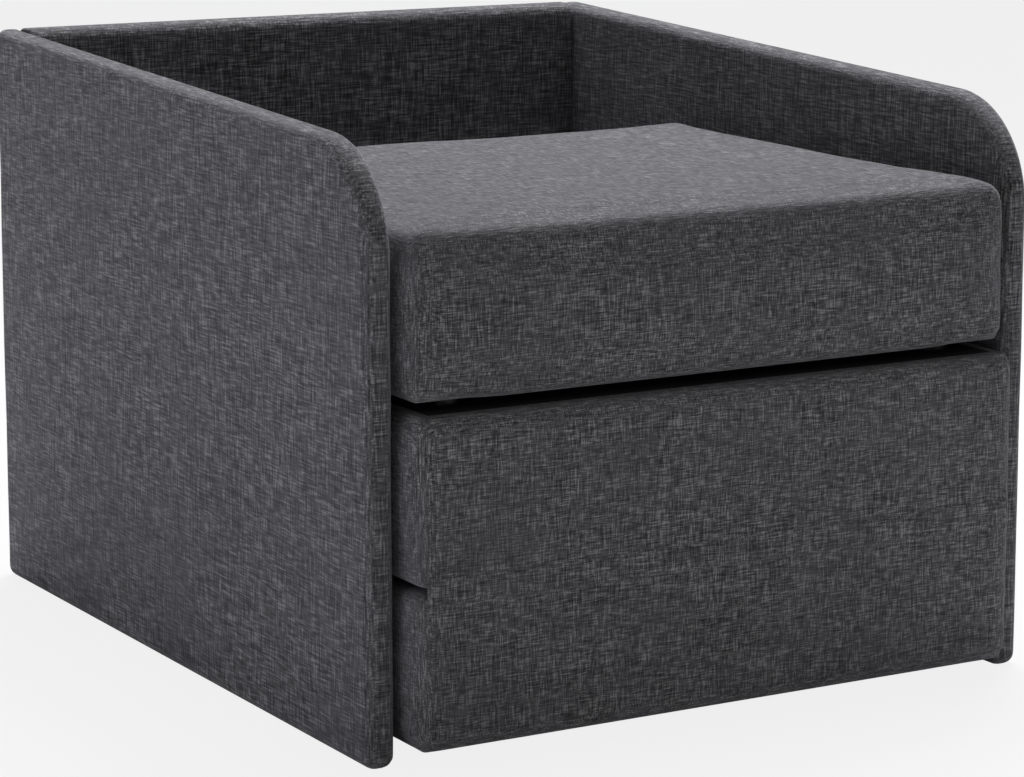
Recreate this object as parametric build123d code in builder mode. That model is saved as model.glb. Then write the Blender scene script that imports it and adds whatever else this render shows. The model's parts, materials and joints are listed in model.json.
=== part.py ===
# Chair bed: a three-sided upholstered surround that holds a mattress in three sections.
# The base section is fixed to the surround. The middle section lies face down on it and swings
# forward about a fabric hinge along the front edge. The seat section lies on the middle one and
# unfolds from it about steel hinges along the rear edge, so the three faces make one level bed.
# Millimetres. X runs to the right, the front faces -Y, +Z is up, and the origin is on the floor
# at the centre of the outline.
import os
from math import radians, tan

from build123d import *

os.makedirs("parts", exist_ok=True)

# Surround
surround_width = 778.0
panel_depth = 908.0
back_height = 640.0
arm_fall_angle = 2.53
arm_corner_radius = 126.0
side_panel_thickness = 30.0
back_panel_thickness = 42.0
panel_padding = 6.0
panel_edge_radius = 12.0
panel_outline_radius = 13.0
board_corner_radius = 6.0

# Mattress sections
section_overhang = 36.0
section_length = 633.0
base_clearance = 20.0
bed_height = 175.0
foot_height = 10.0
foot_clearance = 0.5
fold_gap = 5.5
side_gap = 6.0
seat_inset = 1.5
seat_setback = 20.0
seat_thickness = 166.5
wrap_thickness = 12.0
fit_clearance = 0.3
section_board_thickness = 15.0
lining_thickness = 1.0
topper_thickness = 40.0
core_corner_radius = 8.0
hinge_line_clearance = 0.3
hinge_fabric_thickness = 2.5
hinge_fabric_lap = 12.0

# Form of each cover: crown of its face, swell of its sides, and its edge radii
fold_crown = 2.4
block_swell = 1.0
block_corner_radius = 10.0
block_face_radius = 5.0
block_under_radius = 8.0
seat_crown = 6.0
seat_swell = 3.0
seat_corner_radius = 18.0
seat_face_radius = 17.0
seat_under_radius = 12.0

# Feet
foot_radius = 15.0
foot_edge = 2.0
fold_foot_margin = 61.5
middle_foot_inset = 66.0
foot_pitch = 42.0
base_foot_radius = 20.0
base_foot_margin = 103.0
base_foot_setback = 110.0

# Rear hinges
hinge_margin = 131.5
hinge_length = 60.0
leaf_width = 42.0
leaf_thickness = 2.0
knuckle_radius = 4.5
knuckle_clearance = 0.4
pin_radius = 2.0
pin_clearance = 0.05
pin_head = 1.5

# Steel angles and screws
angle_thickness = 3.0
corner_leg = 40.0
corner_height = 60.0
corner_low_z = 100.0
corner_high_z = 400.0
base_leg = 38.0
base_angle_length = 50.0
base_angle_margin = 166.5
base_angle_lift = 1.0
screw_radius = 2.0
screw_head_radius = 4.0
screw_length = 14.0
screw_clearance = 0.1
screw_pitch = 30.0
countersink_angle = 90

overrun = 5.0

# Places worked out from the sizes above
half_width = surround_width / 2
inner_half = half_width - side_panel_thickness
rear_y = (panel_depth + section_overhang) / 2
panel_front_y = rear_y - panel_depth
well_y = rear_y - back_panel_thickness
section_front_y = -rear_y
section_rear_y = section_front_y + section_length
section_mid_y = section_front_y + section_length / 2
seat_length = section_length - seat_setback
seat_mid_y = section_rear_y - seat_length / 2
block_width = 2 * (inner_half - side_gap)
seat_width = block_width - 2 * seat_inset
fold_thickness = bed_height - foot_height
base_thickness = bed_height - base_clearance
front_hinge_y = section_front_y - hinge_line_clearance
front_hinge_z = bed_height + fold_gap / 2
middle_under_z = bed_height + fold_gap + fold_thickness
seat_under_z = middle_under_z + foot_height + foot_clearance
rear_hinge_y = section_rear_y + hinge_line_clearance
rear_hinge_z = (middle_under_z + seat_under_z) / 2

# The plane of each section lies on its underside, with its normal towards its face
base_plane = Plane((0, section_mid_y, base_clearance), (1, 0, 0), (0, 0, 1))
middle_plane = Plane((0, section_mid_y, middle_under_z), (1, 0, 0), (0, 0, -1))
seat_plane = Plane((0, seat_mid_y, seat_under_z), (1, 0, 0), (0, 0, 1))


def save(piece, name):
    piece.part.label = name
    export_step(piece.part, f"parts/{name}.step")


def pairs(x, y):
    return [(-x, -y), (x, -y), (x, y), (-x, y)]


# Screws stand in planes that lie on the face they hold, with the normal out of it
def drill(places, depth):
    for place in places:
        with BuildSketch(place) as hole:
            Circle(screw_radius + screw_clearance)
        extrude(hole.sketch, amount=-depth, mode=Mode.SUBTRACT)


def countersink(places, plate):
    for place in places:
        with Locations(place):
            CounterSinkHole(screw_radius + screw_clearance, screw_head_radius + screw_clearance,
                            plate + overrun, countersink_angle)


def make_screws(places, name):
    with BuildPart() as screws:
        for place in places:
            with Locations(place):
                Cylinder(screw_radius, screw_length, align=(Align.CENTER, Align.CENTER, Align.MAX))
                Cone(screw_radius, screw_head_radius, screw_head_radius - screw_radius,
                     align=(Align.CENTER, Align.CENTER, Align.MAX))
    save(screws, name)


# Places of the screws in the corner angles, on the sides and on the back
corner_side_places = {-1: [], 1: []}
corner_back_places = []
for side in (-1, 1):
    for low_z in (corner_low_z, corner_high_z):
        for lift in (-screw_pitch / 2, screw_pitch / 2):
            z = low_z + corner_height / 2 + lift
            side_point = (side * (inner_half - angle_thickness), well_y - corner_leg / 2, z)
            back_point = (side * (inner_half - corner_leg / 2), well_y - angle_thickness, z)
            corner_side_places[side].append(Plane(side_point, (0, 1, 0), (-side, 0, 0)))
            corner_back_places.append(Plane(back_point, (1, 0, 0), (0, -1, 0)))

# Places of the screws in the angles under the base section
base_side_places = {-1: [], 1: []}
base_under_places = []
base_angle_ys = [section_front_y + base_angle_margin, section_rear_y - base_angle_margin]
for side in (-1, 1):
    for y in base_angle_ys:
        side_point = (side * (inner_half - angle_thickness), y, base_clearance / 2)
        under_point = (side * (inner_half - base_leg + screw_pitch / 4), y, base_clearance - angle_thickness)
        base_side_places[side].append(Plane(side_point, (0, 1, 0), (-side, 0, 0)))
        base_under_places.append(Plane(under_point, (1, 0, 0), (0, 0, -1)))


# Side panels: board and padded cover
def arm_outline(plane, inset):
    front_height = back_height - panel_depth * tan(radians(arm_fall_angle))
    corners = [(panel_front_y, 0), (rear_y, 0), (rear_y, back_height), (panel_front_y, front_height)]
    with BuildSketch(plane) as outline:
        with BuildLine():
            Polyline(*corners, close=True)
        make_face()
        arm_corner = outline.vertices().group_by(Axis.X)[0].sort_by(Axis.Y)[-1]
        other_corners = [v for v in outline.vertices() if v != arm_corner]
        fillet(arm_corner, arm_corner_radius)
        fillet([outline.vertices().sort_by_distance(v)[0] for v in other_corners], panel_outline_radius)
        if inset > 0:
            offset(amount=-inset)
    return outline


for side, name in ((-1, "left"), (1, "right")):
    outer_x = min(side * half_width, side * inner_half)
    screw_places = corner_side_places[side] + base_side_places[side]
    with BuildPart() as panel_board:
        board_outline = arm_outline(Plane.YZ.offset(outer_x + panel_padding), panel_padding)
        extrude(board_outline.sketch, amount=side_panel_thickness - 2 * panel_padding)
    with BuildPart() as panel_cover:
        extrude(arm_outline(Plane.YZ.offset(outer_x), 0).sketch, amount=side_panel_thickness)
        fillet(panel_cover.faces().filter_by(Axis.X).edges(), panel_edge_radius)
        add(panel_board.part, mode=Mode.SUBTRACT)
        drill(screw_places, screw_length)
    with BuildPart() as drilled_board:
        add(panel_board.part)
        drill(screw_places, screw_length + screw_clearance)
    save(drilled_board, f"{name}_panel_board")
    save(panel_cover, f"{name}_panel_cover")

# Back panel, held between the side panels
with BuildPart() as back_block:
    with BuildSketch(Plane.YZ.offset(-inner_half)):
        with Locations((rear_y - back_panel_thickness / 2, back_height / 2)):
            Rectangle(back_panel_thickness - 2 * panel_padding, back_height - 2 * panel_padding)
    extrude(amount=2 * inner_half)
with BuildPart() as back_panel_cover:
    with BuildSketch(Plane.YZ.offset(-inner_half)):
        with Locations((rear_y - back_panel_thickness / 2, back_height / 2)):
            RectangleRounded(back_panel_thickness, back_height, panel_outline_radius)
    extrude(amount=2 * inner_half)
    add(back_block.part, mode=Mode.SUBTRACT)
    drill(corner_back_places, screw_length)
with BuildPart() as back_panel_board:
    add(back_block.part)
    drill(corner_back_places, screw_length + screw_clearance)
save(back_panel_cover, "back_panel_cover")
save(back_panel_board, "back_panel_board")

# Steel angles in the rear corners of the surround
with BuildPart() as corner_angles:
    for side in (-1, 1):
        for low_z in (corner_low_z, corner_high_z):
            with BuildSketch(Plane.XY.offset(low_z)):
                with BuildLine():
                    wall_x = side * inner_half
                    Polyline((wall_x, well_y), (wall_x, well_y - corner_leg),
                             (wall_x - side * angle_thickness, well_y - corner_leg),
                             (wall_x - side * angle_thickness, well_y - angle_thickness),
                             (wall_x - side * corner_leg, well_y - angle_thickness),
                             (wall_x - side * corner_leg, well_y), close=True)
                make_face()
            extrude(amount=corner_height)
    countersink(corner_side_places[-1] + corner_side_places[1] + corner_back_places, angle_thickness)
save(corner_angles, "corner_angles")
make_screws(corner_side_places[-1] + corner_side_places[1] + corner_back_places, "corner_screws")

# Steel angles that hold the base section between the side panels
with BuildPart() as base_angles:
    for side in (-1, 1):
        for y in base_angle_ys:
            with BuildSketch(Plane.XZ.offset(-y - base_angle_length / 2)):
                with BuildLine():
                    wall_x = side * inner_half
                    Polyline((wall_x, base_clearance), (wall_x, base_angle_lift),
                             (wall_x - side * angle_thickness, base_angle_lift),
                             (wall_x - side * angle_thickness, base_clearance - angle_thickness),
                             (wall_x - side * base_leg, base_clearance - angle_thickness),
                             (wall_x - side * base_leg, base_clearance), close=True)
                make_face()
            extrude(amount=base_angle_length)
    countersink(base_side_places[-1] + base_side_places[1] + base_under_places, angle_thickness)
save(base_angles, "base_angles")
make_screws(base_side_places[-1] + base_side_places[1] + base_under_places, "base_angle_screws")

# Places of the screws in the rear hinge leaves
hinge_x_max = seat_width / 2 - hinge_margin
hinge_xs = [-hinge_x_max, hinge_x_max]
leaf_screw_y = rear_hinge_y - leaf_width / 2 - screw_head_radius
hinge_places = {}
for name, under_z, turn in (("middle", middle_under_z, 1), ("seat", seat_under_z, -1)):
    hinge_places[name] = [
        Plane((x + shift, leaf_screw_y, under_z + turn * leaf_thickness), (1, 0, 0), (0, 0, turn))
        for x in hinge_xs for shift in (-screw_pitch / 2, screw_pitch / 2)
    ]


# Mattress sections: lining, board, foam core, foam topper and padded cover
def section_outline(plane, width, length, swell, corner_radius):
    corner_x = width / 2 - swell
    corner_y = length / 2 - swell
    a, b, c, d = pairs(corner_x, corner_y)
    with BuildSketch(plane) as outline:
        with BuildLine():
            ThreePointArc(a, (0, -length / 2), b)
            ThreePointArc(b, (width / 2, 0), c)
            ThreePointArc(c, (0, length / 2), d)
            ThreePointArc(d, (-width / 2, 0), a)
        make_face()
        fillet(outline.vertices(), corner_radius)
    return outline


def make_section(name, plane, width, length, thickness, form, screw_places, front):
    crown, swell, corner_radius, face_radius, under_radius = form
    inner_width = width - 2 * wrap_thickness
    inner_length = length - 2 * wrap_thickness
    ball_radius = (width / 2) ** 2 / (2 * crown) + crown / 2

    with BuildPart() as cover:
        outline = section_outline(plane, width, length, swell, corner_radius)
        extrude(outline.sketch, amount=thickness + crown + overrun)
        with Locations(plane.offset(thickness + crown - ball_radius)):
            Sphere(ball_radius, rotation=(90, 0, 0), mode=Mode.INTERSECT)
        fillet(cover.faces().filter_by(GeomType.SPHERE).edges(), face_radius)
        fillet(cover.faces().filter_by(GeomType.PLANE).edges(), under_radius)
        if front:
            # The front fabric runs straight on to the hinge line that it shares with its neighbour
            with BuildSketch(plane.offset(thickness - hinge_fabric_lap)):
                add(section_outline(Plane.XY, width, length, swell, corner_radius))
                with Locations((0, front * (length - hinge_fabric_thickness) / 2)):
                    Rectangle(width - 2 * corner_radius, hinge_fabric_thickness, mode=Mode.INTERSECT)
            extrude(amount=hinge_fabric_lap + fold_gap / 2 - hinge_line_clearance / 2)
        with BuildSketch(plane):
            RectangleRounded(inner_width, inner_length, core_corner_radius)
        extrude(amount=thickness - wrap_thickness, mode=Mode.SUBTRACT)
    save(cover, f"{name}_cover")

    layers = [
        ("lining", lining_thickness),
        ("board", section_board_thickness),
        ("core", thickness - wrap_thickness - lining_thickness - section_board_thickness - topper_thickness),
        ("topper", topper_thickness),
    ]
    height = 0
    for layer_name, layer_thickness in layers:
        with BuildPart() as layer:
            with BuildSketch(plane.offset(height)):
                RectangleRounded(inner_width - 2 * fit_clearance, inner_length - 2 * fit_clearance,
                                 core_corner_radius - fit_clearance)
            extrude(amount=layer_thickness)
            if layer_name in ("lining", "board"):
                drill(screw_places, screw_length + screw_clearance)
        save(layer, f"{name}_{layer_name}")
        height += layer_thickness


block_form = (fold_crown, block_swell, block_corner_radius, block_face_radius, block_under_radius)
seat_form = (seat_crown, seat_swell, seat_corner_radius, seat_face_radius, seat_under_radius)
make_section("base", base_plane, block_width, section_length, base_thickness, block_form,
             base_under_places, -1)
make_section("middle", middle_plane, block_width, section_length, fold_thickness, block_form,
             hinge_places["middle"], 1)
make_section("seat", seat_plane, seat_width, seat_length, seat_thickness, seat_form,
             hinge_places["seat"], 0)


# Feet: on the folding sections they share the gap between the two undersides, side by side
def make_feet(name, plane, places, radius, height):
    with BuildPart() as feet:
        with BuildSketch(plane):
            with Locations(*places):
                Circle(radius)
        extrude(amount=-height)
        ground_faces = feet.faces().group_by(Axis(plane.origin, plane.z_dir))[0]
        chamfer(ground_faces.edges(), foot_edge)
    save(feet, name)


base_foot_x = block_width / 2 - base_foot_margin
fold_foot_x = seat_width / 2 - fold_foot_margin
middle_foot_y = section_length / 2 - middle_foot_inset
seat_foot_y = middle_foot_y - foot_pitch - seat_setback / 2
base_foot_y = section_length / 2 - base_foot_setback
make_feet("base_feet", base_plane, pairs(base_foot_x, base_foot_y), base_foot_radius, base_clearance)
make_feet("middle_feet", middle_plane, pairs(fold_foot_x, middle_foot_y), foot_radius, foot_height)
make_feet("seat_feet", seat_plane, pairs(fold_foot_x, seat_foot_y), foot_radius, foot_height)


# Rear hinges: the middle leaf carries the outer knuckles, the seat leaf the one between them
knuckle_length = hinge_length / 3
knuckle_reach = knuckle_radius + knuckle_clearance
plate_length = leaf_width - knuckle_reach
knuckle_shifts = {"middle": (-knuckle_length, knuckle_length), "seat": (0,)}
for name, under_z, turn in (("middle", middle_under_z, 1), ("seat", seat_under_z, -1)):
    with BuildPart() as hinge_leaves:
        for hinge_x in hinge_xs:
            with BuildSketch(Plane.XY.offset(under_z)):
                with Locations((hinge_x, rear_hinge_y - knuckle_reach - plate_length / 2)):
                    Rectangle(hinge_length, plate_length)
                for shift in knuckle_shifts[name]:
                    with Locations((hinge_x + shift, rear_hinge_y - knuckle_reach / 2)):
                        Rectangle(knuckle_length - knuckle_clearance, knuckle_reach)
            extrude(amount=turn * leaf_thickness)
            for shift in knuckle_shifts[name]:
                start_x = hinge_x + shift - (knuckle_length - knuckle_clearance) / 2
                with BuildSketch(Plane.YZ.offset(start_x)):
                    with Locations((rear_hinge_y, rear_hinge_z)):
                        Circle(knuckle_radius)
                extrude(amount=knuckle_length - knuckle_clearance)
            with BuildSketch(Plane.YZ.offset(hinge_x - hinge_length / 2 - overrun)):
                with Locations((rear_hinge_y, rear_hinge_z)):
                    Circle(pin_radius + pin_clearance)
            extrude(amount=hinge_length + 2 * overrun, mode=Mode.SUBTRACT)
        countersink(hinge_places[name], leaf_thickness)
    save(hinge_leaves, f"{name}_hinge_leaves")
    make_screws(hinge_places[name], f"{name}_hinge_screws")

with BuildPart() as hinge_pins:
    for hinge_x in hinge_xs:
        barrel_half = hinge_length / 2 - knuckle_clearance / 2
        with BuildSketch(Plane.YZ.offset(hinge_x - barrel_half)):
            with Locations((rear_hinge_y, rear_hinge_z)):
                Circle(pin_radius)
        extrude(amount=2 * barrel_half)
        for end_x in (hinge_x - barrel_half - pin_head, hinge_x + barrel_half):
            with BuildSketch(Plane.YZ.offset(end_x)):
                with Locations((rear_hinge_y, rear_hinge_z)):
                    Circle(pin_radius + pin_head)
            extrude(amount=pin_head)
save(hinge_pins, "hinge_pins")
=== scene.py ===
import json
import math

import bmesh
import bpy
import numpy as np
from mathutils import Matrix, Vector


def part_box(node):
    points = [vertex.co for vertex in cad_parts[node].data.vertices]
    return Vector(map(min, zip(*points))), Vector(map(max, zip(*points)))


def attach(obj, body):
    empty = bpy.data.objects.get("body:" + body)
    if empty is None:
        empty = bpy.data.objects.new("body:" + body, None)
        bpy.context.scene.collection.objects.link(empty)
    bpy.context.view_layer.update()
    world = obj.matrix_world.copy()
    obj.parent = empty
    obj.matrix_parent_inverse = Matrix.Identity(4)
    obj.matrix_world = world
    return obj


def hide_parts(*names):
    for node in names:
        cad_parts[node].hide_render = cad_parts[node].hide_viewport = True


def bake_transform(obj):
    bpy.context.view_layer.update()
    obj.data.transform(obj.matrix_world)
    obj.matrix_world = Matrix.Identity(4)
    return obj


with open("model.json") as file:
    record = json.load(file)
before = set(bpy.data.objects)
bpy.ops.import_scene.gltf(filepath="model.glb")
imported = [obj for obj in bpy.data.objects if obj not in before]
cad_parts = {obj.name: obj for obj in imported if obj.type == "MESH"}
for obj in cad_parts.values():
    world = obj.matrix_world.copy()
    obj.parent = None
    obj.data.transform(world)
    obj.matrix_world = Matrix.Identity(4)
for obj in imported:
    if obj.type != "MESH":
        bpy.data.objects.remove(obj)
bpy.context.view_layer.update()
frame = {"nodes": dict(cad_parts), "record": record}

print("chair bed: frame loaded")


# Camera: it stands at the front left and looks slightly down, as the photograph does
camera = {
    "place": (-1.901, -3.312, 1.007),
    "yaw": 30.13,
    "pitch": 10.03,
    "focalPixels": 3536,
    "imageWidth": 1024,
    "sensor": 36.0,
    "shiftY": -0.06,
    "farthest": 50,
}


def addCamera():
    # The lens is the focal length in pixels over the image width, times the sensor's width
    data = bpy.data.cameras.new("camera")
    data.sensor_width = camera["sensor"]
    data.lens = camera["focalPixels"] / camera["imageWidth"] * camera["sensor"]
    data.shift_y = camera["shiftY"]
    data.clip_end = camera["farthest"]
    view = bpy.data.objects.new("camera", data)
    bpy.context.scene.collection.objects.link(view)
    view.location = camera["place"]
    view.rotation_euler = (math.radians(90 - camera["pitch"]), 0, math.radians(-camera["yaw"]))
    bpy.context.scene.camera = view


addCamera()
print("camera placed")


# Light: a broad soft box above and behind, two low ones at the left and the front that stay under
# the seat's height, and a pale floor that fills from below
studio = {
    "skyStrength": 0.10,
    "floorSize": 30,
    "floorColor": (0.86, 0.86, 0.87, 1),
    "floorShowsWhite": 0.85,
}
lights = {
    "topLight": {
        "place": (0.9, 1.0, 2.9), "target": (0, 0, 0), "size": (2.0, 2.2), "power": 120,
        "color": (1, 0.99, 1.02),
    },
    "leftLight": {
        "place": (-3.2, -0.4, 0.26), "target": (0, 0, 0.26), "size": (2.4, 0.46), "power": 19.5,
        "color": (0.95, 0.925, 1),
    },
    "frontLight": {
        "place": (0.3, -3.2, 0.10), "target": (0, 0, 0.06), "size": (2.4, 0.22), "power": 8.2,
        "color": (1, 1, 0.97),
    },
}


def addAreaLight(name, form):
    # A soft box that faces its target and that the camera doesn't see
    data = bpy.data.lights.new(name, "AREA")
    data.shape = "RECTANGLE"
    data.size, data.size_y = form["size"]
    data.energy = form["power"]
    data.color = form["color"]
    light = bpy.data.objects.new(name, data)
    bpy.context.scene.collection.objects.link(light)
    light.visible_camera = False
    light.location = form["place"]
    towards = Vector(form["target"]) - Vector(form["place"])
    light.rotation_euler = towards.to_track_quat("-Z", "Y").to_euler()


def addSky():
    # The world is white to the camera and to rays that pass through, and a weak white light otherwise
    world = bpy.data.worlds.new("studio")
    bpy.context.scene.world = world
    world.use_nodes = True
    nodes, links = world.node_tree.nodes, world.node_tree.links
    nodes.clear()
    path = nodes.new("ShaderNodeLightPath")
    seen = nodes.new("ShaderNodeMath")
    seen.operation = "MAXIMUM"
    strength = nodes.new("ShaderNodeMapRange")
    strength.inputs["To Min"].default_value = studio["skyStrength"]
    strength.inputs["To Max"].default_value = 1.0
    background = nodes.new("ShaderNodeBackground")
    background.inputs["Color"].default_value = (1, 1, 1, 1)
    output = nodes.new("ShaderNodeOutputWorld")
    links.new(path.outputs["Is Camera Ray"], seen.inputs[0])
    links.new(path.outputs["Is Transmission Ray"], seen.inputs[1])
    links.new(seen.outputs[0], strength.inputs["Value"])
    links.new(strength.outputs["Result"], background.inputs["Strength"])
    links.new(background.outputs[0], output.inputs["Surface"])


def addFloor():
    # A diffuse floor that keeps a part of its shadow, shows mostly white to the camera, and is
    # clear from below
    half = studio["floorSize"] / 2
    mesh = bpy.data.meshes.new("floor")
    corners = [(-half, -half, 0), (half, -half, 0), (half, half, 0), (-half, half, 0)]
    mesh.from_pydata(corners, [], [(0, 1, 2, 3)])
    floor = bpy.data.objects.new("floor", mesh)
    bpy.context.scene.collection.objects.link(floor)
    material = bpy.data.materials.new("paleFloor")
    material.use_nodes = True
    nodes, links = material.node_tree.nodes, material.node_tree.links
    nodes.clear()
    diffuse = nodes.new("ShaderNodeBsdfDiffuse")
    diffuse.inputs["Color"].default_value = studio["floorColor"]
    white = nodes.new("ShaderNodeEmission")
    path = nodes.new("ShaderNodeLightPath")
    share = nodes.new("ShaderNodeMath")
    share.operation = "MULTIPLY"
    share.inputs[1].default_value = studio["floorShowsWhite"]
    mix = nodes.new("ShaderNodeMixShader")
    side = nodes.new("ShaderNodeNewGeometry")
    clear = nodes.new("ShaderNodeBsdfTransparent")
    below = nodes.new("ShaderNodeMixShader")
    output = nodes.new("ShaderNodeOutputMaterial")
    links.new(path.outputs["Is Camera Ray"], share.inputs[0])
    links.new(share.outputs[0], mix.inputs[0])
    links.new(diffuse.outputs[0], mix.inputs[1])
    links.new(white.outputs[0], mix.inputs[2])
    links.new(side.outputs["Backfacing"], below.inputs[0])
    links.new(mix.outputs[0], below.inputs[1])
    links.new(clear.outputs[0], below.inputs[2])
    links.new(below.outputs[0], output.inputs["Surface"])
    mesh.materials.append(material)


bpy.context.scene.view_settings.view_transform = "Standard"
for lightName, lightForm in lights.items():
    addAreaLight(lightName, lightForm)
addSky()
addFloor()
print("studio lit")


# Shader nodes
def newGroup(name, inputs, outputs):
    # A node group with named sockets, and its two end nodes
    group = bpy.data.node_groups.new(name, "ShaderNodeTree")
    for label, kind in inputs:
        group.interface.new_socket(label, in_out="INPUT", socket_type="NodeSocket" + kind)
    for label, kind in outputs:
        group.interface.new_socket(label, in_out="OUTPUT", socket_type="NodeSocket" + kind)
    return group, group.nodes.new("NodeGroupInput"), group.nodes.new("NodeGroupOutput")


def mathNode(tree, operation, first, second, clamp=False):
    # One operation on two values, each a number or another node's output
    node = tree.nodes.new("ShaderNodeMath")
    node.operation = operation
    node.use_clamp = clamp
    for socket, value in zip(node.inputs, (first, second)):
        if isinstance(value, (int, float)):
            socket.default_value = value
        else:
            tree.links.new(value, socket)
    return node.outputs[0]


def vectorNode(tree, operation, first, second):
    # One operation on two vectors, each a tuple or another node's output
    node = tree.nodes.new("ShaderNodeVectorMath")
    node.operation = operation
    for socket, value in zip(node.inputs, (first, second)):
        if isinstance(value, tuple):
            socket.default_value = value
        else:
            tree.links.new(value, socket)
    return node.outputs[0]


def noiseNode(tree, vector, scale, detail, roughness):
    # Smooth noise around 0.5, with detail as the count of its finer layers
    node = tree.nodes.new("ShaderNodeTexNoise")
    node.inputs["Scale"].default_value = scale
    node.inputs["Detail"].default_value = detail
    node.inputs["Roughness"].default_value = roughness
    tree.links.new(vector, node.inputs["Vector"])
    return node.outputs["Fac"]


def mixColor(tree, share, first, second):
    # The first colour at a share of 0, the second at 1
    node = tree.nodes.new("ShaderNodeMix")
    node.data_type = "RGBA"
    for socket, value in ((node.inputs[0], share), (node.inputs[6], first), (node.inputs[7], second)):
        if isinstance(value, (tuple, float, int)):
            socket.default_value = value
        else:
            tree.links.new(value, socket)
    return node.outputs[2]


# Linen-look weave: slubbed yarns along the two axes that lie in the surface
weave = {
    "yarns": (
        {"pitch": 0.0012, "length": 0.015, "weight": 0.95},
        {"pitch": 0.0008, "length": 0.008, "weight": 0.5},
        {"pitch": 0.0026, "length": 0.030, "weight": 0.2},
    ),
    "yarnDetail": 1.0,
    "yarnRoughness": 0.5,
    "middle": 0.5,
    "cloudSize": 0.09,
    "cloudDetail": 3.0,
    "cloudRoughness": 0.6,
}


def joined(tree, first, second):
    # The sum of both, or the second alone when nothing has been added up yet
    return second if first is None else mathNode(tree, "ADD", first, second)


def weaveGroup():
    # Yarns along one axis are a noise drawn out along it, so its place is divided by the yarn's length
    # on that axis and by its pitch on the others. A yarn shows where the surface lies along its axis,
    # so each direction is weighed by one less the square of the normal's share of that axis.
    group, inside, outside = newGroup(
        "linenWeave",
        [("Place", "Vector"), ("Facing", "Vector")],
        [("Yarn", "Float"), ("Height", "Float"), ("Cloud", "Float")],
    )
    place, facing = inside.outputs["Place"], inside.outputs["Facing"]
    squared = vectorNode(group, "MULTIPLY", facing, facing)
    split = group.nodes.new("ShaderNodeSeparateXYZ")
    group.links.new(squared, split.inputs[0])
    total, relief = None, None
    for axis in range(3):
        shows = mathNode(group, "SUBTRACT", 1.0, split.outputs[axis], clamp=True)
        yarn = None
        for form in weave["yarns"]:
            scale = [1 / form["pitch"]] * 3
            scale[axis] = 1 / form["length"]
            drawn = vectorNode(group, "MULTIPLY", place, tuple(scale))
            slub = noiseNode(group, drawn, 1.0, weave["yarnDetail"], weave["yarnRoughness"])
            centred = mathNode(group, "SUBTRACT", slub, weave["middle"])
            if yarn is None:
                relief = joined(group, relief, mathNode(group, "MULTIPLY", centred, shows))
            yarn = joined(group, yarn, mathNode(group, "MULTIPLY", centred, form["weight"]))
        total = joined(group, total, mathNode(group, "MULTIPLY", yarn, shows))
    cloud = noiseNode(group, place, 1 / weave["cloudSize"], weave["cloudDetail"], weave["cloudRoughness"])
    group.links.new(mathNode(group, "ADD", total, weave["middle"], clamp=True), outside.inputs["Yarn"])
    group.links.new(relief, outside.inputs["Height"])
    group.links.new(cloud, outside.inputs["Cloud"])
    return group


def fabricMaterial(name, form, coarseness):
    # The yarns' value is turned into colour by a ramp from dark over middle to light. A tint lies over
    # it by a share of cloud less the cloud's start, times its gain. Coarseness divides the place.
    material = bpy.data.materials.new(name)
    material.use_nodes = True
    tree = material.node_tree
    shader = tree.nodes["Principled BSDF"]
    where = tree.nodes.new("ShaderNodeTexCoord")
    cloth = tree.nodes.new("ShaderNodeGroup")
    cloth.node_tree = linenWeave
    spread = vectorNode(tree, "MULTIPLY", where.outputs["Object"], (1 / coarseness,) * 3)
    tree.links.new(spread, cloth.inputs["Place"])
    tree.links.new(where.outputs["Normal"], cloth.inputs["Facing"])
    ramp = tree.nodes.new("ShaderNodeValToRGB")
    ramp.color_ramp.interpolation = "EASE"
    first, last = ramp.color_ramp.elements
    first.position, last.position = form["rampEnds"]
    first.color, last.color = (*form["dark"], 1), (*form["light"], 1)
    ramp.color_ramp.elements.new(form["rampMiddle"]).color = (*form["middle"], 1)
    tree.links.new(cloth.outputs["Yarn"], ramp.inputs[0])
    clouded = mathNode(tree, "SUBTRACT", cloth.outputs["Cloud"], form["cloudStart"], clamp=True)
    share = mathNode(tree, "MULTIPLY", clouded, form["cloudGain"])
    tinted = mixColor(tree, share, ramp.outputs[0], (*form["tint"], 1))
    tree.links.new(tinted, shader.inputs["Base Color"])
    bump = tree.nodes.new("ShaderNodeBump")
    bump.inputs["Strength"].default_value = form["bumpStrength"]
    bump.inputs["Distance"].default_value = form["bumpHeight"]
    tree.links.new(cloth.outputs["Height"], bump.inputs["Height"])
    tree.links.new(bump.outputs[0], shader.inputs["Normal"])
    shader.inputs["Roughness"].default_value = form["roughness"]
    shader.inputs["Specular IOR Level"].default_value = form["specular"]
    shader.inputs["Sheen Weight"].default_value = form["sheen"]
    shader.inputs["Sheen Roughness"].default_value = form["sheenRoughness"]
    shader.inputs["Sheen Tint"].default_value = form["sheenTint"]
    return material


grainNoise = {
    "noiseRoughness": 0.6,
    "wornDetail": 4.0,
    "roughnessSpread": 0.1,
    "plyDetail": 5.0,
    "plyAlong": 4.0,
    "plyRoughness": 0.7,
}


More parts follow.
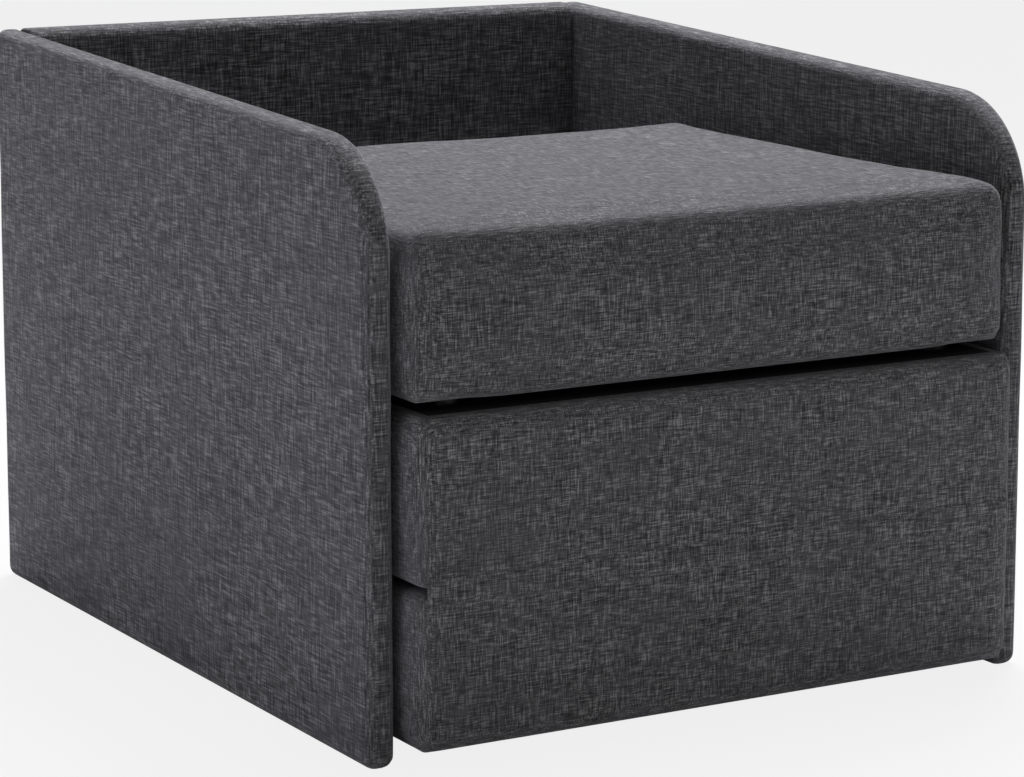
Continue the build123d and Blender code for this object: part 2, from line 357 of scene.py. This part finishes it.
def wornMaterial(name, base, dusty, metallic, roughness, grain, bumpHeight):
    # A plain finish whose colour and bumps follow a fine noise, and whose roughness goes with it from
    # its own value less the spread to its own value and the spread
    material = bpy.data.materials.new(name)
    material.use_nodes = True
    tree = material.node_tree
    shader = tree.nodes["Principled BSDF"]
    where = tree.nodes.new("ShaderNodeTexCoord")
    detail, fineness = grainNoise["wornDetail"], grainNoise["noiseRoughness"]
    speck = noiseNode(tree, where.outputs["Object"], grain, detail, fineness)
    tree.links.new(mixColor(tree, speck, (*base, 1), (*dusty, 1)), shader.inputs["Base Color"])
    rough = tree.nodes.new("ShaderNodeMapRange")
    rough.inputs["To Min"].default_value = roughness - grainNoise["roughnessSpread"]
    rough.inputs["To Max"].default_value = roughness + grainNoise["roughnessSpread"]
    tree.links.new(speck, rough.inputs["Value"])
    tree.links.new(rough.outputs["Result"], shader.inputs["Roughness"])
    bump = tree.nodes.new("ShaderNodeBump")
    bump.inputs["Distance"].default_value = bumpHeight
    tree.links.new(speck, bump.inputs["Height"])
    tree.links.new(bump.outputs[0], shader.inputs["Normal"])
    shader.inputs["Metallic"].default_value = metallic
    return material


def plyMaterial(name, pale, brown, ringSize):
    # Wood grain: a noise drawn out along X, with rings of the given size across it
    material = bpy.data.materials.new(name)
    material.use_nodes = True
    tree = material.node_tree
    shader = tree.nodes["Principled BSDF"]
    where = tree.nodes.new("ShaderNodeTexCoord")
    scale = (grainNoise["plyAlong"], 1 / ringSize, 1 / ringSize)
    drawn = vectorNode(tree, "MULTIPLY", where.outputs["Object"], scale)
    grain = noiseNode(tree, drawn, 1.0, grainNoise["plyDetail"], grainNoise["noiseRoughness"])
    tree.links.new(mixColor(tree, grain, (*pale, 1), (*brown, 1)), shader.inputs["Base Color"])
    shader.inputs["Roughness"].default_value = grainNoise["plyRoughness"]
    return material


charcoalCloth = {
    "dark": (0.022, 0.022, 0.023),
    "middle": (0.102, 0.1015, 0.1045),
    "light": (0.340, 0.339, 0.346),
    "tint": (0.098, 0.098, 0.112),
    "rampEnds": (0.20, 0.86),
    "rampMiddle": 0.5,
    "cloudStart": 0.4,
    "cloudGain": 1.2,
    "roughness": 0.92,
    "specular": 0.25,
    "sheen": 0.35,
    "sheenRoughness": 0.55,
    "sheenTint": (0.86, 0.86, 0.92, 1),
    "bumpStrength": 0.5,
    "bumpHeight": 0.0012,
}
linenWeave = weaveGroup()
charcoalWeave = fabricMaterial("charcoalWeave", charcoalCloth, 1.0)
panelWeave = fabricMaterial("panelWeave", charcoalCloth, 1.6)
# Two colours that the noise mixes, then metallic, roughness, grain and the height of the bumps
wornFinishes = {
    "black_lining": ("blackLining", (0.018, 0.018, 0.019), (0.035, 0.035, 0.037), 0.0, 0.85, 900, 0.0003),
    "soft_foam": ("softFoam", (0.78, 0.75, 0.62), (0.86, 0.84, 0.74), 0.0, 0.9, 700, 0.0006),
    "firm_foam": ("firmFoam", (0.62, 0.66, 0.62), (0.74, 0.77, 0.72), 0.0, 0.9, 900, 0.0005),
    "timber_board": ("fibreBoard", (0.42, 0.30, 0.18), (0.52, 0.39, 0.25), 0.0, 0.8, 1200, 0.0002),
    "zinc_steel": ("zincSteel", (0.56, 0.57, 0.58), (0.66, 0.67, 0.68), 1.0, 0.38, 160, 0.00008),
    "hinge_steel": ("hingeSteel", (0.46, 0.47, 0.48), (0.58, 0.58, 0.60), 1.0, 0.34, 220, 0.00006),
    "screw_steel": ("screwSteel", (0.52, 0.48, 0.34), (0.62, 0.58, 0.44), 1.0, 0.32, 300, 0.00005),
    "black_plastic": ("blackPlastic", (0.008, 0.008, 0.008), (0.014, 0.014, 0.014), 0.0, 0.5, 800, 0.0001),
}
finishes = {slot: wornMaterial(*values) for slot, values in wornFinishes.items()}
finishes["charcoal_weave"] = charcoalWeave
finishes["plywood"] = plyMaterial("plywood", (0.62, 0.46, 0.28), (0.48, 0.33, 0.18), 0.006)
for entry in frame["record"]["subparts"]:
    node = frame["nodes"][entry["node"]]
    node.data.materials.clear()
    node.data.materials.append(finishes[entry["material_slot"]])
print("finishes made")


# Surfaces
surface = {
    "merge": 0.0002,
    "fewestArcSteps": 6,
    "fewestRunSteps": 2,
    "edgeAngles": 6,
    "fewestFaceSteps": 3,
    "waves": 7,
    "waveSpread": (0.6, 1.7),
    "waveEvening": 2.6,
}


def meshFromRings(name, rings, material):
    # Rings of points, each closed on itself, joined to the next by quads. The first and last ring
    # shrink onto a line or a point, and their doubles are merged so that the skin is closed.
    count, around = rings.shape[:2]
    points = rings.reshape(-1, 3)
    k, i = np.meshgrid(np.arange(count - 1), np.arange(around), indexing="ij")
    nextI = (i + 1) % around
    here, after = k * around, (k + 1) * around
    quads = np.stack([here + i, here + nextI, after + nextI, after + i], -1)
    mesh = bpy.data.meshes.new(name)
    mesh.from_pydata(points.tolist(), [], quads.reshape(-1, 4).tolist())
    piece = bpy.data.objects.new(name, mesh)
    bpy.context.scene.collection.objects.link(piece)
    mesh.materials.append(material)
    tidyMesh(mesh, surface["merge"])
    return piece


def tidyMesh(mesh, merge):
    # Merges points nearer than merge, drops empty faces and turns all faces outwards
    work = bmesh.new()
    work.from_mesh(mesh)
    bmesh.ops.remove_doubles(work, verts=work.verts, dist=merge)
    bmesh.ops.dissolve_degenerate(work, edges=work.edges, dist=merge / 2)
    bmesh.ops.recalc_face_normals(work, faces=work.faces)
    work.to_mesh(mesh)
    work.free()
    mesh.shade_smooth()
    mesh.update()


def roundedOutline(corners, radii, spacing):
    # A closed outline of straight runs and corner arcs. An arc's centre lies on the corner's bisector,
    # at radius over the sine of half the corner's angle. Gives points and outward normals: on a run the
    # normal is the run's own, on an arc it turns evenly from one run's normal to the next.
    corners = np.array(corners, float)
    count = len(corners)
    points, normals = [], []
    arcs = []
    for j in range(count):
        before, here, after = corners[j - 1], corners[j], corners[(j + 1) % count]
        back = (before - here) / np.linalg.norm(before - here)
        ahead = (after - here) / np.linalg.norm(after - here)
        half = math.acos(np.clip(back @ ahead, -1, 1)) / 2
        centre = here + (back + ahead) / np.linalg.norm(back + ahead) * radii[j] / math.sin(half)
        startNormal = np.array([-back[1], back[0]])
        endNormal = np.array([ahead[1], -ahead[0]])
        arcs.append((centre, radii[j], startNormal, endNormal))
    for j in range(count):
        centre, radius, startNormal, endNormal = arcs[j]
        startAngle = math.atan2(startNormal[1], startNormal[0])
        turn = (math.atan2(endNormal[1], endNormal[0]) - startAngle) % (2 * math.pi)
        steps = max(surface["fewestArcSteps"], int(radius * turn / spacing) + 1)
        angles = startAngle + np.linspace(0, turn, steps)
        arcNormals = np.stack([np.cos(angles), np.sin(angles)], -1)
        points.append(centre + radius * arcNormals)
        normals.append(arcNormals)
        nextCentre, nextRadius, nextNormal, _ = arcs[(j + 1) % count]
        runStart = points[-1][-1]
        runEnd = nextCentre + nextRadius * nextNormal
        steps = max(surface["fewestRunSteps"], int(np.linalg.norm(runEnd - runStart) / spacing))
        share = np.linspace(0, 1, steps + 1)[1:-1, None]
        points.append(runStart + (runEnd - runStart) * share)
        normals.append(np.repeat(nextNormal[None], len(share), 0))
    return np.concatenate(points), np.concatenate(normals)


def slabRings(outline, low, high, lowRadius, highRadius, spacing, spine):
    # A padded slab: the outline carried from low to high. Near each end it draws in by a quarter
    # circle, whose radius is one value or one for each point of the outline: at each angle the inset is
    # the radius times one less the sine, and the distance from the end the radius times one less the
    # cosine. Then it closes over the end face towards the spine, a line inside the outline.
    points, normals = outline
    spineStart, spineEnd = np.array(spine[0], float), np.array(spine[1], float)
    direction = spineEnd - spineStart
    along = np.clip((points - spineStart) @ direction / (direction @ direction), 0, 1)
    target = spineStart + along[:, None] * direction
    reach = np.linalg.norm(points - target, axis=1).max()
    lowRadius = np.broadcast_to(lowRadius, len(points))
    highRadius = np.broadcast_to(highRadius, len(points))
    wall = high - low - lowRadius - highRadius
    faceShares = np.linspace(0, 1, max(surface["fewestFaceSteps"], int(reach / spacing)) + 1)[:-1]
    wallShares = np.linspace(0, 1, max(1, int(wall.max() / spacing)) + 1)[1:-1]
    angles = np.linspace(0, math.pi / 2, surface["edgeAngles"])
    insets = np.concatenate([
        np.repeat(lowRadius[None], len(faceShares), 0),
        (1 - np.sin(angles))[:, None] * lowRadius,
        np.zeros((len(wallShares), len(points))),
        (1 - np.sin(angles[::-1]))[:, None] * highRadius,
        np.repeat(highRadius[None], len(faceShares), 0),
    ])
    heights = np.concatenate([
        np.full((len(faceShares), len(points)), low),
        low + (1 - np.cos(angles))[:, None] * lowRadius,
        low + lowRadius + wallShares[:, None] * wall,
        high - (1 - np.cos(angles[::-1]))[:, None] * highRadius,
        np.full((len(faceShares), len(points)), high),
    ])
    middle = np.ones(len(insets) - 2 * len(faceShares))
    closing = np.concatenate([faceShares, middle, faceShares[::-1]])
    drawn = points[None] - insets[..., None] * normals[None]
    flat = target[None] + (drawn - target[None]) * closing[:, None, None]
    return np.concatenate([flat, heights[..., None]], -1)


def wander(points, size, amount, seed):
    # A slow swell of the surface: the sum of sines in random directions, whose lengths are the given
    # size times a random spread, times the amount over an evening value
    chance = np.random.default_rng(seed)
    total = np.zeros(points.shape[:-1])
    for _ in range(surface["waves"]):
        direction = chance.normal(size=3)
        direction /= np.linalg.norm(direction)
        wave = 2 * math.pi / (size * chance.uniform(*surface["waveSpread"]))
        total += np.sin(points @ direction * wave + chance.uniform(0, 2 * math.pi))
    return total * amount / surface["waveEvening"]


def smoothStep(value):
    # With the value held between 0 and 1: its square times three less twice the value
    value = np.clip(value, 0, 1)
    return value * value * (3 - 2 * value)


# Surround panels
panel = {
    "edge": 0.0115,
    "outlineRadius": 0.0135,
    "armRadius": 0.113,
    "frontHeight": 0.5999,
    "spacing": 0.008,
    "puff": 0.0012,
    "puffReach": 0.07,
    "unevenness": 0.00035,
    "waveSize": 0.16,
    "sideSeed": 11,
    "backSeed": 17,
    "endRadius": 0.003,
    "spineInset": 0.02,
}


def dressPanel(name, points, node):
    # The panel's skin, dressed in place of its solid
    piece = meshFromRings(name, points, panelWeave)
    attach(piece, "surround")
    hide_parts(node)


def panelSwell(points, across, low, high):
    # Each broad face swells by the puff, rising smoothly with the distance inside the rim. Across is
    # the axis of the thickness and the rim is taken on the other two. Also gives that distance, and
    # the side of the face: 1 or -1, or 0 within an edge's width of the middle.
    span = 1 - across
    place, height = points[..., span], points[..., 2]
    rim = np.minimum.reduce([place - low[span], high[span] - place, height, high.z - height])
    offset = points[..., across] - (low[across] + high[across]) / 2
    outward = np.sign(offset) * (np.abs(offset) > panel["edge"])
    return panel["puff"] * smoothStep((rim - panel["edge"]) / panel["puffReach"]), rim, outward


def sidePanel(name, node, order):
    # Side view outline carried across the thickness, with each face puffed a little inside its rim
    low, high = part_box(node)
    corners = [(low.y, 0), (high.y, 0), (high.y, panelTop), (low.y, panel["frontHeight"])]
    radii = [panel["outlineRadius"]] * 3 + [panel["armRadius"]]
    outline = roundedOutline(corners, radii, panel["spacing"])
    middle = (low.z + high.z) / 2
    spine = ((low.y + middle, middle), (high.y - middle, middle))
    rings = slabRings(outline, low.x, high.x, panel["edge"], panel["edge"], panel["spacing"], spine)
    points = np.stack([rings[..., 2], rings[..., 0], rings[..., 1]], -1)
    swell, _, outward = panelSwell(points, 0, low, high)
    waves = wander(points, panel["waveSize"], panel["unevenness"], panel["sideSeed"] + order)
    points[..., 0] += outward * (swell + waves)
    dressPanel(name, points, node)


def backPanel(name, node):
    # Its end view carried from one side panel to the other, puffed on its two broad faces. Its waves
    # rise smoothly from 0 at the rim.
    low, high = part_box(node)
    corners = [(low.y, low.z), (high.y, low.z), (high.y, high.z), (low.y, high.z)]
    outline = roundedOutline(corners, [panel["outlineRadius"]] * 4, panel["spacing"])
    middleY = (low.y + high.y) / 2
    spine = ((middleY, low.z + panel["spineInset"]), (middleY, high.z - panel["spineInset"]))
    rings = slabRings(outline, low.x, high.x, panel["endRadius"], panel["endRadius"], panel["spacing"], spine)
    points = np.stack([rings[..., 2], rings[..., 0], rings[..., 1]], -1)
    swell, rim, outward = panelSwell(points, 1, low, high)
    inside = smoothStep(rim / panel["puffReach"])
    waves = wander(points, panel["waveSize"], panel["unevenness"], panel["backSeed"])
    points[..., 1] += outward * (swell + inside * waves)
    dressPanel(name, points, node)


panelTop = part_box("back_panel_cover")[1].z
sidePanel("leftPanel", "left_panel_cover", 0)
sidePanel("rightPanel", "right_panel_cover", 1)
backPanel("backPanel", "back_panel_cover")
print("panels made")


# Cushions of the three sections
section = {
    "spacing": 0.009,
    "voxel": 0.0075,
    "pressure": 4.0,
    "frames": 14,
    "clothQuality": 4,
    "clothMass": 0.3,
    "halfHeld": 0.5,
    "inwardShare": 0.15,
    "smoothing": 0.5,
    "smoothingPasses": 5,
    "undersideLift": 0.0004,
    "flatDepth": 0.004,
    "flatRamp": 0.004,
    "lipInset": 0.02,
    "lipRamp": 0.09,
    "lipReach": 0.03,
    "lipHeight": 0.04,
}


def meshPoints(mesh):
    # The mesh's points as rows of x, y and z
    flat = np.empty(len(mesh.vertices) * 3, np.float32)
    mesh.vertices.foreach_get("co", flat)
    return flat.reshape(-1, 3).astype(float)


def setPoints(mesh, points):
    # Puts rows of x, y and z back into the mesh
    mesh.vertices.foreach_set("co", points.astype(np.float32).ravel())
    mesh.update()


def applyModifiers(piece):
    # The piece's mesh becomes what its modifiers show
    shown = piece.evaluated_get(bpy.context.evaluated_depsgraph_get())
    mesh = bpy.data.meshes.new_from_object(shown)
    old = piece.data
    piece.modifiers.clear()
    piece.data = mesh
    bpy.data.meshes.remove(old)
    mesh.shade_smooth()


def refine(piece):
    # Each quad becomes four, on a smoother surface
    finer = piece.modifiers.new("finer", "SUBSURF")
    finer.levels = finer.render_levels = 1
    applyModifiers(piece)


def plump(piece, form):
    # Pressure fills the cover as stuffing does. The stuffing keeps the cover from drawing in, so of an
    # inward move only a share is kept. A point's move is eased towards the cap, as the cap times the
    # hyperbolic tangent of move over cap, and then taken times the share that its resting place gives,
    # which is 0 where the piece lies on something. The smoothing after it spares the points nearer to
    # the face's level than the crisp depth.
    cap = form["cap"]
    remesh = piece.modifiers.new("remesh", "REMESH")
    remesh.mode = "VOXEL"
    remesh.voxel_size = section["voxel"]
    applyModifiers(piece)
    rest = meshPoints(piece.data)
    moves = form["share"](rest)
    half = section["halfHeld"]
    held = piece.vertex_groups.new(name="held")
    held.add(np.nonzero(moves <= 0)[0].tolist(), 1.0, "REPLACE")
    held.add(np.nonzero((moves > 0) & (moves < half))[0].tolist(), 1.0 - half, "REPLACE")
    cloth = piece.modifiers.new("fill", "CLOTH")
    cloth.settings.quality = section["clothQuality"]
    cloth.settings.mass = section["clothMass"]
    cloth.settings.vertex_group_mass = "held"
    cloth.settings.use_pressure = True
    cloth.settings.uniform_pressure_force = section["pressure"]
    cloth.settings.effector_weights.gravity = 0
    cloth.collision_settings.use_collision = False
    cloth.point_cache.frame_end = section["frames"]
    for step in range(1, section["frames"] + 1):
        bpy.context.scene.frame_set(step)
    shown = piece.evaluated_get(bpy.context.evaluated_depsgraph_get())
    shift = meshPoints(shown.data) - rest
    outward = np.sign(rest - (rest.min(0) + rest.max(0)) / 2)
    shift *= np.where(shift * outward < 0, section["inwardShare"], 1)
    piece.modifiers.clear()
    piece.vertex_groups.clear()
    bpy.context.scene.frame_set(1)
    length = np.maximum(np.linalg.norm(shift, axis=1), 1e-9)
    print(f"{piece.name}: pressure moved points up to {length.max() * 1000:.1f} mm")
    eased = cap * np.tanh(length / cap) / length * moves
    setPoints(piece.data, rest + shift * eased[:, None])
    softened = piece.vertex_groups.new(name="softened")
    soft = np.abs(rest[:, 2] - form["face"]) >= form["crispDepth"]
    softened.add(np.nonzero(soft)[0].tolist(), 1.0, "REPLACE")
    smooth = piece.modifiers.new("smooth", "SMOOTH")
    smooth.vertex_group = "softened"
    smooth.factor = section["smoothing"]
    smooth.iterations = section["smoothingPasses"]
    applyModifiers(piece)
    piece.vertex_groups.clear()


def window(value, low, high, ramp):
    # 0 outside low and high and 1 inside them: the product of a smooth rise of the ramp's length after
    # low and a smooth fall of that length before high
    return smoothStep((value - low) / ramp) * smoothStep((high - value) / ramp)


def finishCushion(piece, nodes, body, form):
    # Fills the skin, shapes it, and dresses it in place of its solids
    plump(piece, form)
    refine(piece)
    setPoints(piece.data, flatUnderside(form["finish"](meshPoints(piece.data)), form))
    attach(piece, body)
    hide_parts(*nodes)


def rectangle(lowX, lowY, highX, highY):
    # Its corners, anticlockwise
    return [(lowX, lowY), (highX, lowY), (highX, highY), (lowX, highY)]


def rimDistance(points, low, high):
    # In plan, the distance to the nearest side
    sides = [points[..., 0] - low.x, high.x - points[..., 0], points[..., 1] - low.y, high.y - points[..., 1]]
    return np.minimum.reduce(sides)


def flatUnderside(points, form):
    # The underside lies flat on the board up to its rim, which the rounding of the mesh would bare. A
    # point's height moves to the underside's level by the product of two smooth steps: of two less its
    # height over the flat depth, and of one more than its distance inside the flat's start over a ramp.
    level = form["high"].z if form["underHigh"] else form["low"].z
    near = smoothStep(2 - np.abs(points[:, 2] - level) / section["flatDepth"])
    rim = rimDistance(points, form["low"], form["high"])
    inside = smoothStep((rim - form["flatFrom"]) / section["flatRamp"] + 1)
    points[:, 2] += (level - points[:, 2]) * near * inside
    return points


def pressed(beyond, reach):
    # A bulge past a resting plane that another section meets when the bed is open. It is eased towards
    # the reach, as the reach times the hyperbolic tangent of bulge over reach.
    return np.where(beyond > 0, reach * np.tanh(beyond / reach), beyond)


def frontLip(points, low, high, level):
    # 1 along the middle of the front edge at the given level, and 0 at its ends and away from it: the
    # product of a window along X and smooth falls over the lip's reach behind the front and its height
    lowEnd, highEnd = low.x + section["lipInset"], high.x - section["lipInset"]
    along = window(points[:, 0], lowEnd, highEnd, section["lipRamp"])
    front = smoothStep(1 - (points[:, 1] - low.y) / section["lipReach"])
    return along * front * smoothStep(1 - np.abs(points[:, 2] - level) / section["lipHeight"])


def sectionNodes(name):
    # The solids that a section's cushion stands for
    return [f"{name}_{layer}" for layer in ("cover", "topper", "core")]


seat = {
    "sideInset": 0.0012,
    "faceInset": 0.0065,
    "faceRadius": 0.019,
    "underRadius": 0.011,
    "endRadius": 0.009,
    "faceEndRadius": 0.014,
    "flatFrom": 0.0095,
    "hang": 0.0046,
    "cap": 0.0045,
    "spineInset": 0.08,
    "aloftReach": 0.04,
    "restHeight": 0.004,
    "restRamp": 0.045,
    "raisedReach": 0.03,
    "unevenness": 0.0006,
    "waveSize": 0.22,
    "seed": 5,
    "crispDepth": 0.0,
    "fill": 0.75,
}


def seatCushion():
    # The seat is the softest: its face and sides fill out, and its underside stays flat on the board.
    # Its front view, with large corners, is carried from front to rear. The radius of its end edges
    # rises smoothly to the face's own one.
    low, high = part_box("seat_cover")
    low = low + Vector((seat["sideInset"], seat["sideInset"], section["undersideLift"]))
    high = high - Vector((seat["sideInset"], seat["sideInset"], seat["faceInset"]))
    radii = [seat["underRadius"], seat["underRadius"], seat["faceRadius"], seat["faceRadius"]]
    outline = roundedOutline(rectangle(low.x, low.z, high.x, high.z), radii, section["spacing"])
    middleZ = (low.z + high.z) / 2
    spine = ((low.x + seat["spineInset"], middleZ), (high.x - seat["spineInset"], middleZ))
    aloft = smoothStep((outline[0][:, 1] - high.z + seat["aloftReach"]) / seat["aloftReach"])
    endRadii = seat["endRadius"] + (seat["faceEndRadius"] - seat["endRadius"]) * aloft
    rings = slabRings(outline, low.y, high.y, endRadii, endRadii, section["spacing"], spine)
    piece = meshFromRings("seatCushion", rings[..., [0, 2, 1]], charcoalWeave)

    def share(points):
        # A smooth rise above the board
        return smoothStep((points[:, 2] - low.z - seat["restHeight"]) / seat["restRamp"])

    def finish(points):
        # The face waves, the front lip hangs, and the rear end's bulge is limited
        raised = smoothStep((points[:, 2] - high.z + seat["raisedReach"]) / seat["raisedReach"])
        points[:, 2] += raised * wander(points, seat["waveSize"], seat["unevenness"], seat["seed"])
        points[:, 2] -= seat["hang"] * frontLip(points, low, high, low.z)
        points[:, 1] = high.y + pressed(points[:, 1] - high.y, seat["sideInset"])
        return points

    form = {"low": low, "high": high, "underHigh": False, "face": high.z, "share": share, "finish": finish}
    finishCushion(piece, sectionNodes("seat"), "seat_section", seat | form)


block = {
    "sideInset": 0.001,
    "rim": 0.0028,
    "crown": 0.0024,
    "crownReach": 0.09,
    "cornerRadius": 0.014,
    "faceRadius": 0.0025,
    "underRadius": 0.013,
    "flatFrom": 0.0088,
    "crispDepth": 0.014,
    "hang": 0.0026,
    "cap": 0.002,
    "spineInset": 0.3,
    "restHeight": 0.006,
    "restRamp": 0.07,
    "faceReach": 0.02,
    "broadRamp": 0.06,
    "frontReach": 0.02,
    "unevenness": 0.0005,
    "waveSize": 0.3,
    "seed": 23,
    "fill": 0.9,
}


def foldCushion(name, body, faceUp):
    # The base and the middle section lie face to face, pressed flat, so only their sides fill out.
    # Their plan is carried from the underside to the face. The face keeps its low crown, and at the
    # front the fabric runs straight to the hinge line.
    boxLow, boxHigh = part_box(f"{name}_cover")
    toFace = 1 if faceUp else -1
    under = (boxLow.z if faceUp else boxHigh.z) + toFace * section["undersideLift"]
    face = (boxHigh.z if faceUp else boxLow.z) - toFace * block["rim"]
    low = Vector((boxLow.x + block["sideInset"], boxLow.y + block["sideInset"], min(under, face)))
    high = Vector((boxHigh.x - block["sideInset"], boxHigh.y - block["sideInset"], max(under, face)))
    corners = rectangle(low.x, low.y, high.x, high.y)
    outline = roundedOutline(corners, [block["cornerRadius"]] * 4, section["spacing"])
    middleY = (low.y + high.y) / 2
    spine = ((low.x + block["spineInset"], middleY), (high.x - block["spineInset"], middleY))
    endRadii = (block["underRadius"], block["faceRadius"])
    lowRadius, highRadius = endRadii if faceUp else endRadii[::-1]
    rings = slabRings(outline, low.z, high.z, lowRadius, highRadius, section["spacing"], spine)
    piece = meshFromRings(f"{name}Cushion", rings, charcoalWeave)

    def share(points):
        # 1 at half height, falling smoothly to 0 near the face and the underside
        lowEnd, highEnd = low.z + block["restHeight"], high.z - block["restHeight"]
        return window(points[:, 2], lowEnd, highEnd, block["restRamp"])

    def finish(points):
        # The face gets its crown, a smooth rise with the distance inside the rim. The front waves, its
        # lip hangs, and the bulge of both ends is limited.
        inside = rimDistance(points, low, high)
        nearFace = smoothStep(1 - np.abs(points[:, 2] - face) / block["faceReach"])
        points[:, 2] += toFace * block["crown"] * nearFace * smoothStep(inside / block["crownReach"])
        broad = window(points[:, 2], low.z, high.z, block["broadRamp"])
        front = smoothStep(1 - (points[:, 1] - low.y) / block["frontReach"])
        waves = wander(points, block["waveSize"], block["unevenness"], block["seed"])
        points[:, 1] += front * broad * waves
        points[:, 2] -= toFace * block["hang"] * frontLip(points, low, high, under)
        points[:, 1] = high.y + pressed(points[:, 1] - high.y, block["sideInset"])
        points[:, 1] = low.y - pressed(low.y - points[:, 1], block["sideInset"])
        return points

    form = {"low": low, "high": high, "underHigh": not faceUp, "face": face, "share": share, "finish": finish}
    finishCushion(piece, sectionNodes(name), body, block | form)


seatCushion()
foldCushion("base", "surround", True)
foldCushion("middle", "middle_section", False)
print("cushions made")


# Fabric over the front fold line
fold = {
    "halfWidth": 0.339,
    "frontY": -0.4720,
    "cornerRadius": 0.014,
    "cornerTurn": 22,
    "cornerSink": 0.0008,
    "axisZ": 0.17775,
    "halfHeight": 0.022,
    "thickness": 0.0009,
    "proud": 0.0003,
    "sunk": 0.0016,
    "flatShare": 0.3,
    "crease": 0.0001,
    "creaseWidth": 0.1,
    "blendHalf": 0.0012,
    "curveAllowance": 0.0003,
    "cornerSteps": 9,
    "runSteps": 160,
    "heightSteps": 41,
}


def foldStrip():
    # One piece of fabric runs over both front edges. In plan it follows the front face and turns into
    # each corner, sinking smoothly there. In section it stands proud of the cushions, sinks into them
    # smoothly beyond its flat share, and dips at the fold line by the crease times a bell curve, the
    # exponential of minus the square of its height over the crease's width.
    turns = np.radians(np.linspace(fold["cornerTurn"], 0, fold["cornerSteps"]))
    centreY = fold["frontY"] + fold["cornerRadius"]
    left = np.stack([-fold["halfWidth"] - fold["cornerRadius"] * np.sin(turns),
                     centreY - fold["cornerRadius"] * np.cos(turns)], -1)
    leftOut = np.stack([-np.sin(turns), -np.cos(turns)], -1)
    runX = np.linspace(-fold["halfWidth"], fold["halfWidth"], fold["runSteps"])[1:-1]
    run = np.stack([runX, np.full_like(runX, fold["frontY"])], -1)
    runOut = np.tile([0.0, -1.0], (len(runX), 1))
    mirror = np.array([-1.0, 1.0])
    plan = np.concatenate([left, run, left[::-1] * mirror])
    outward = np.concatenate([leftOut, runOut, leftOut[::-1] * mirror])
    cornerSink = fold["cornerSink"] * smoothStep(turns / turns[0])
    endSink = np.concatenate([cornerSink, np.zeros(len(run)), cornerSink[::-1]])
    across = np.linspace(-1, 1, fold["heightSteps"])
    height = fold["axisZ"] + across * fold["halfHeight"]
    falling = smoothStep((np.abs(across) - fold["flatShare"]) / (1 - fold["flatShare"]))
    standing = fold["proud"] - (fold["proud"] + fold["sunk"]) * falling
    standing -= fold["crease"] * np.exp(-(across / fold["creaseWidth"]) ** 2)
    offsets = np.concatenate([standing, standing[::-1] - fold["thickness"]]) - endSink[:, None]
    heights = np.concatenate([height, height[::-1]])
    rings = np.empty((len(plan), len(heights), 3))
    rings[..., :2] = plan[:, None] + offsets[..., None] * outward[:, None]
    rings[..., 2] = heights[None]
    piece = meshFromRings("foldStrip", closedEnds(rings), charcoalWeave)
    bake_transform(piece)


def closedEnds(rings):
    # Folds each end ring's two faces together, so that the tube has a thin closed end
    half = rings.shape[1] // 2
    ends = []
    for ring in (rings[0], rings[-1]):
        centre = (ring[:half] + ring[half:][::-1]) / 2
        ends.append(np.concatenate([centre, centre[::-1]]))
    return np.concatenate([ends[0][None], rings, ends[1][None]])


foldStrip()
print("fold strip made")


# Linings: black nonwoven under each section
lining = {
    "thickness": 0.0008,
    "sag": 0.0007,
    "sagShare": 0.4,
    "edgeLift": 0.0016,
    "edgeReach": 0.006,
    "sagReach": 0.05,
    "waveSize": 0.12,
    "seed": 31,
    "merge": 0.00005,
    "columns": 60,
    "rows": 54,
}


def liningSheet(name, node, body, under):
    # A thin sheet over the board. Its rim is drawn up into the cover by the edge's lift, which falls
    # smoothly over the edge's reach, and inside it waves by a share of the sag.
    low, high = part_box(node)
    columns, rows = lining["columns"], lining["rows"]
    acrossX, acrossY = np.linspace(low.x, high.x, columns), np.linspace(low.y, high.y, rows)
    u, v = np.meshgrid(acrossX, acrossY, indexing="ij")
    rim = np.minimum.reduce([u - low.x, high.x - u, v - low.y, high.y - v])
    lift = lining["edgeLift"] * (1 - smoothStep(rim / lining["edgeReach"]))
    flat = np.stack([u, v, np.zeros_like(u)], -1)
    waves = np.clip(wander(flat, lining["waveSize"], 1.0, lining["seed"]), -1, 1)
    ripple = lining["sag"] * smoothStep(rim / lining["sagReach"]) * (0.5 + 0.5 * waves)
    inner = lift + ripple * lining["sagShare"]
    outerZ = (low.z + inner) if under else (high.z - inner)
    away = -1 if under else 1
    outer = np.stack([u, v, outerZ], -1)
    inside = outer - np.array([0, 0, away * lining["thickness"]])
    points = np.concatenate([outer.reshape(-1, 3), inside.reshape(-1, 3)])
    index = np.arange(columns * rows).reshape(columns, rows)
    quads = np.stack([index[:-1, :-1], index[1:, :-1], index[1:, 1:], index[:-1, 1:]], -1).reshape(-1, 4)
    border = np.concatenate([index[:-1, 0], index[-1, :-1], index[:0:-1, -1], index[0, :0:-1]])
    after = np.roll(border, -1)
    offset = columns * rows
    walls = np.stack([border, after, after + offset, border + offset], -1)
    mesh = bpy.data.meshes.new(name)
    mesh.from_pydata(points.tolist(), [], np.concatenate([quads, quads[:, ::-1] + offset, walls]).tolist())
    piece = bpy.data.objects.new(name, mesh)
    bpy.context.scene.collection.objects.link(piece)
    mesh.materials.append(finishes["black_lining"])
    tidyMesh(mesh, lining["merge"])
    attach(piece, body)
    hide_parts(node)


liningSheet("baseLiningSheet", "base_lining", "surround", True)
liningSheet("middleLiningSheet", "middle_lining", "middle_section", False)
liningSheet("seatLiningSheet", "seat_lining", "seat_section", True)
print("linings made")
